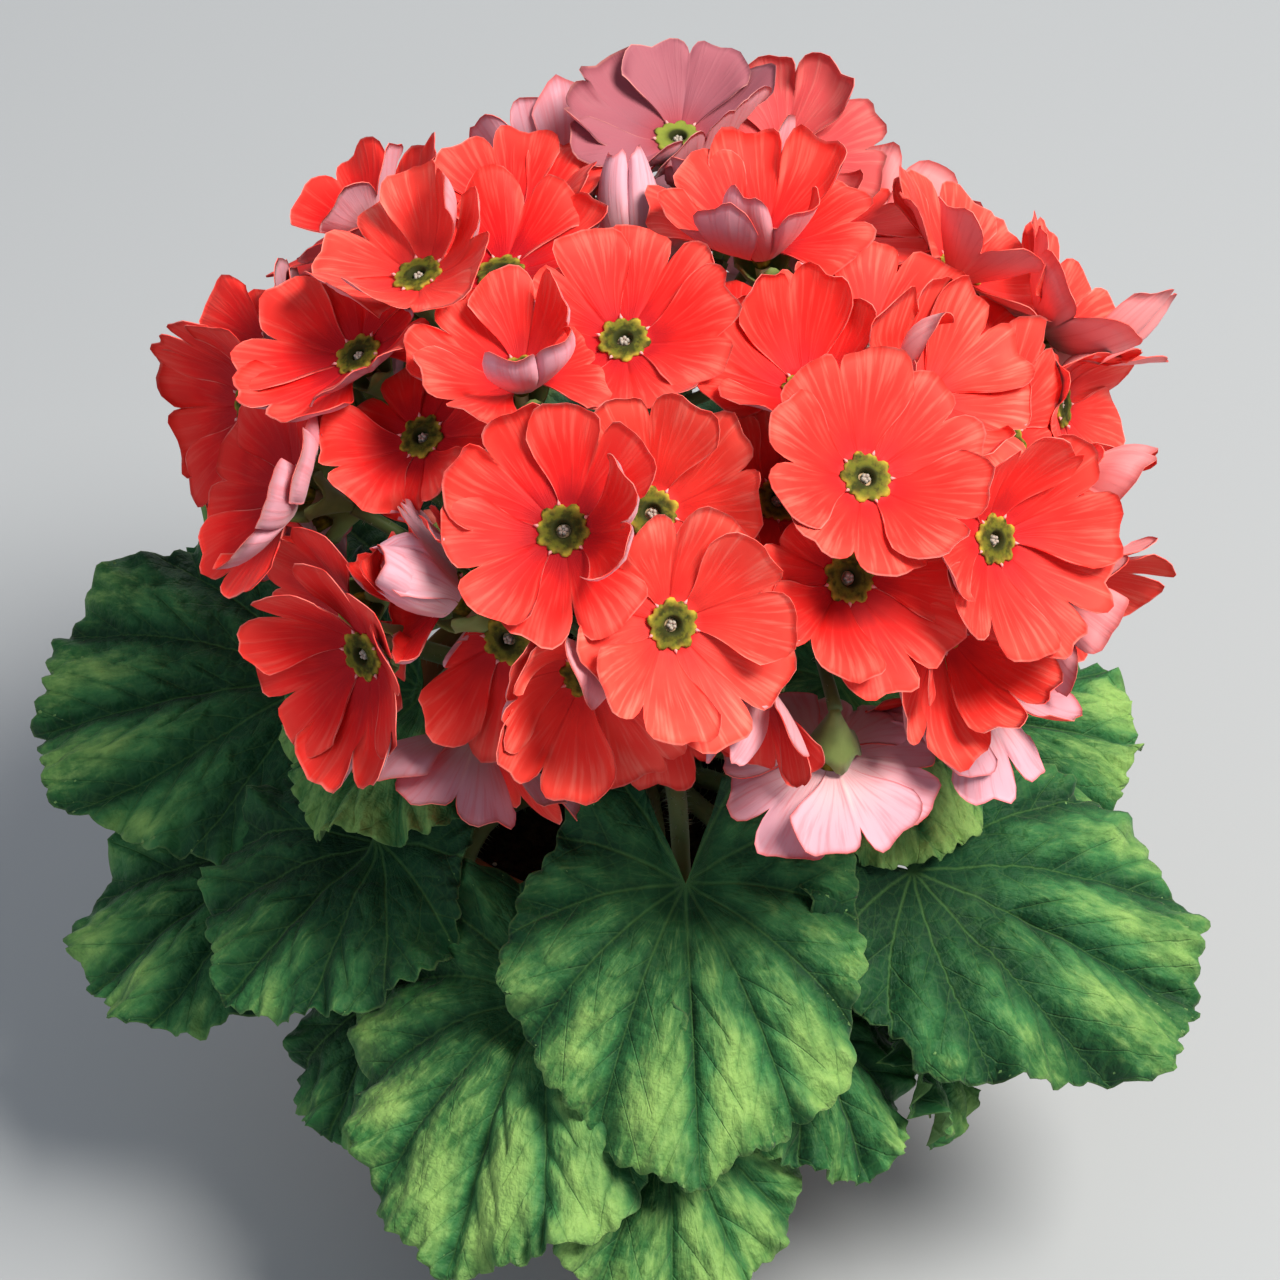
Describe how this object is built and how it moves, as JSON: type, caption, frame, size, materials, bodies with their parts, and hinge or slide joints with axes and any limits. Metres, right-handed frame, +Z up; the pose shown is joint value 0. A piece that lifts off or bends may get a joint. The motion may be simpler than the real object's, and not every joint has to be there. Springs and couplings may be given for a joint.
{
  "type": "potted german primrose",
  "caption": "Flowering pot plant: a clay pot of soil with a rosette of wavy heart-shaped leaves under a round head of coral blooms with green eyes.",
  "frame": {"origin": "middle of the pot's flat base, on the surface it stands on", "axes": "+Z up along the pot's axis; -Y is the plant's front, the side that the picture shows; +X to the right of a viewer at the front"},
  "size_m": [0.2551, 0.2365, 0.2435],
  "materials": {
    "clay": "unglazed terracotta, dry and matt, stood in for by matte plastic",
    "soil": "moist dark potting soil, stood in for by matte plastic",
    "crown": "short fibrous green-brown crown, stood in for by matte plastic",
    "leaf": "soft velvety green leaf with a low sheen, stood in for by matte plastic",
    "stalk": "pale green hairy flower stalk, stood in for by matte plastic",
    "petal": "thin matt coral petal, stood in for by matte plastic"
  },
  "bodies": {
    "root": {"blooms_back_1": "petal", "blooms_back_2": "petal", "blooms_back_3": "petal", "blooms_back_4": "petal", "blooms_centre_1": "petal", "blooms_centre_2": "petal", "blooms_front_left_1": "petal", "blooms_front_left_2": "petal", "blooms_front_left_3": "petal", "blooms_front_left_4": "petal", "blooms_front_left_5": "petal", "blooms_front_left_6": "petal", "blooms_front_left_7": "petal", "blooms_front_left_8": "petal", "blooms_front_right_1": "petal", "blooms_front_right_2": "petal", "blooms_front_right_3": "petal", "blooms_front_right_4": "petal", "blooms_front_right_5": "petal", "blooms_front_right_6": "petal", "blooms_left_1": "petal", "blooms_left_2": "petal", "blooms_left_3": "petal", "blooms_left_4": "petal", "blooms_left_5": "petal", "blooms_right_1": "petal", "blooms_right_2": "petal", "blooms_right_3": "petal", "blooms_right_4": "petal", "blooms_right_5": "petal", "blooms_right_6": "petal", "crown": "crown", "leaf_back": "leaf", "leaf_back_left": "leaf", "leaf_back_right": "leaf", "leaf_front": "leaf", "leaf_front_left": "leaf", "leaf_front_low": "leaf", "leaf_front_right_low": "leaf", "leaf_left": "leaf", "leaf_left_back": "leaf", "leaf_left_front": "leaf", "leaf_left_low": "leaf", "leaf_left_narrow": "leaf", "leaf_left_small": "leaf", "leaf_right": "leaf", "leaf_right_back": "leaf", "leaf_right_curled": "leaf", "leaf_right_front": "leaf", "leaf_right_small": "leaf", "pot": "clay", "soil": "soil", "stalk_back": "stalk", "stalk_centre": "stalk", "stalk_front_left": "stalk", "stalk_front_right": "stalk", "stalk_left": "stalk", "stalk_right": "stalk"}
  },
  "joints": []
}
